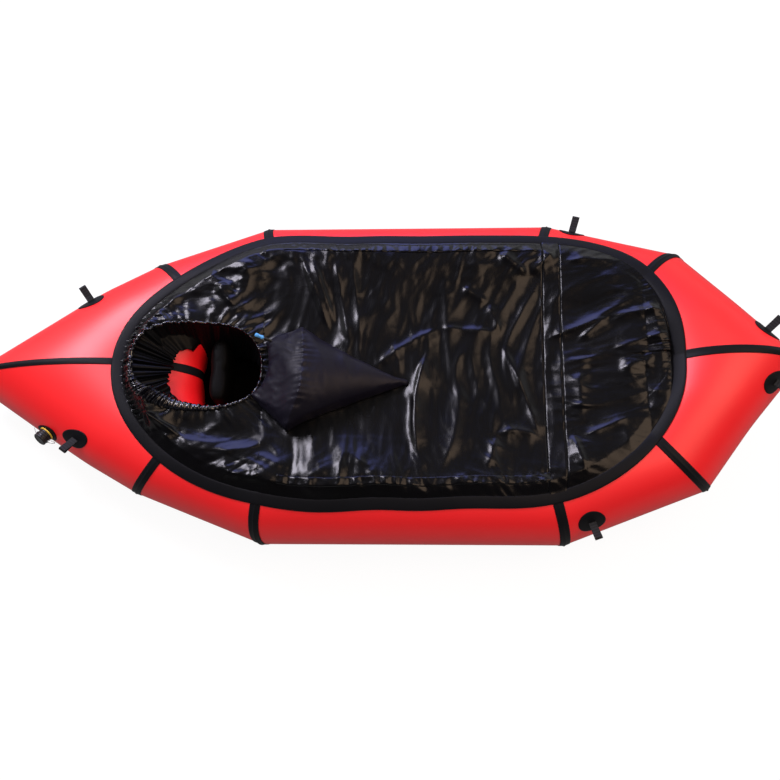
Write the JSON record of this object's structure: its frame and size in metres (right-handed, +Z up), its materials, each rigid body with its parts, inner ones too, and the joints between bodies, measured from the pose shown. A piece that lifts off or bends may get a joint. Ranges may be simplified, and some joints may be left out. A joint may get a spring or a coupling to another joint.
{
  "type": "packraft",
  "caption": "Inflatable one-person packraft with pointed ends, fabric deck, cockpit opening, peak bladder, seat, lashing loops and an inflation valve.",
  "frame": {"origin": "on the ground under the middle of the boat's outer box", "axes": "+X to the bow, +Y to the left side, +Z up"},
  "size_m": [2.3473, 0.9528, 0.4015],
  "materials": {
    "hull_fabric": "coated nylon, soft sheen",
    "tape": "coated tape, matt",
    "deck_fabric": "thin coated nylon, glossy",
    "bladder_fabric": "coated nylon, satin",
    "floor_fabric": "heavy coated nylon, matt",
    "webbing": "woven, matt",
    "black_plastic": "moulded, fine grain",
    "blue_plastic": "moulded, smooth",
    "yellow_plastic": "moulded, smooth"
  },
  "bodies": {
    "raft": {"cockpit_hem": "deck_fabric", "deck_cross_strip": "deck_fabric", "deck_front": "deck_fabric", "deck_main": "deck_fabric", "deck_side_strip_left": "tape", "deck_side_strip_right": "tape", "deck_tape": "tape", "floor_bow": "floor_fabric", "floor_main": "floor_fabric", "floor_tape_left": "tape", "floor_tape_right": "tape", "hull_bow_left": "hull_fabric", "hull_bow_right": "hull_fabric", "hull_front_quarter_left": "hull_fabric", "hull_front_quarter_right": "hull_fabric", "hull_rear_quarter_left": "hull_fabric", "hull_rear_quarter_right": "hull_fabric", "hull_side_left": "hull_fabric", "hull_side_right": "hull_fabric", "hull_stern_left": "hull_fabric", "hull_stern_right": "hull_fabric", "oral_tube": "black_plastic", "patch_bow_left": "tape", "patch_bow_right": "tape", "patch_side_left": "tape", "patch_side_right": "tape", "patch_stern_left": "tape", "patch_stern_right": "tape", "peak_bladder": "bladder_fabric", "seam_tape_bow": "tape", "seam_tape_front_quarter_left": "tape", "seam_tape_front_quarter_right": "tape", "seam_tape_front_side_left": "tape", "seam_tape_front_side_right": "tape", "seam_tape_rear_quarter_left": "tape", "seam_tape_rear_quarter_right": "tape", "seam_tape_rear_side_left": "tape", "seam_tape_rear_side_right": "tape", "seam_tape_stern": "tape", "seat_cushion": "floor_fabric", "valve_body": "black_plastic", "valve_flange": "tape", "valve_ring": "yellow_plastic"},
    "mouthpiece": {"mouthpiece": "blue_plastic"},
    "backrest": {"backrest": "floor_fabric"},
    "valve_collar": {"valve_collar": "black_plastic"},
    "valve_cap": {"valve_cap": "black_plastic"},
    "loop_bow_left": {"loop_bow_left": "webbing"},
    "loop_bow_right": {"loop_bow_right": "webbing"},
    "loop_side_left": {"loop_side_left": "webbing"},
    "loop_side_right": {"loop_side_right": "webbing"},
    "loop_stern_left": {"loop_stern_left": "webbing"},
    "loop_stern_right": {"loop_stern_right": "webbing"}
  },
  "joints": [
    {"name": "loop_bow_left_swing", "type": "hinge", "parent": "raft", "child": "loop_bow_left", "pos_m": [1.06608, 0.07559, 0.34763], "axis": [0.6346, -0.7655, 0.1063], "range_deg": [-60, 100]},
    {"name": "loop_bow_right_swing", "type": "hinge", "parent": "raft", "child": "loop_bow_right", "pos_m": [1.06608, -0.07559, 0.34763], "axis": [0.6346, 0.7655, 0.1063], "range_deg": [-100, 60]},
    {"name": "loop_side_left_swing", "type": "hinge", "parent": "raft", "child": "loop_side_left", "pos_m": [0.58154, 0.42947, 0.24006], "axis": [0.9423, -0.3084, 0.1305], "range_deg": [-60, 100]},
    {"name": "loop_side_right_swing", "type": "hinge", "parent": "raft", "child": "loop_side_right", "pos_m": [0.58154, -0.42947, 0.24006], "axis": [0.9423, 0.3084, 0.1305], "range_deg": [-100, 60]},
    {"name": "loop_stern_left_swing", "type": "hinge", "parent": "raft", "child": "loop_stern_left", "pos_m": [-0.80536, 0.20771, 0.24307], "axis": [0.8195, 0.5722, 0.0312], "range_deg": [-60, 100]},
    {"name": "loop_stern_right_swing", "type": "hinge", "parent": "raft", "child": "loop_stern_right", "pos_m": [-0.80536, -0.20771, 0.24307], "axis": [0.8195, -0.5722, 0.0312], "range_deg": [-100, 60]},
    {"name": "mouthpiece_press", "type": "slide", "parent": "raft", "child": "mouthpiece", "axis": [-0.8586, 0.2106, 0.4673], "range_m": [-0.003, 0], "stiffness_N_per_m": 600},
    {"name": "backrest_fold", "type": "hinge", "parent": "raft", "child": "backrest", "pos_m": [-0.40417, 0, 0.09587], "axis": [0, 1, 0], "range_deg": [0, 80]},
    {"name": "valve_lift", "type": "slide", "parent": "raft", "child": "valve_collar", "axis": [-0.5386, -0.7694, 0.3435], "range_m": [0, 0.0045]},
    {"name": "valve_turn", "type": "hinge", "parent": "valve_collar", "child": "valve_cap", "pos_m": [-0.90536, -0.17341, 0.19027], "axis": [-0.5386, -0.7694, 0.3435], "range_deg": [0, 540]}
  ],
  "couplings": [
    {"joint": "valve_turn", "follows": "valve_lift", "rad_per_m": 2094.4}
  ]
}
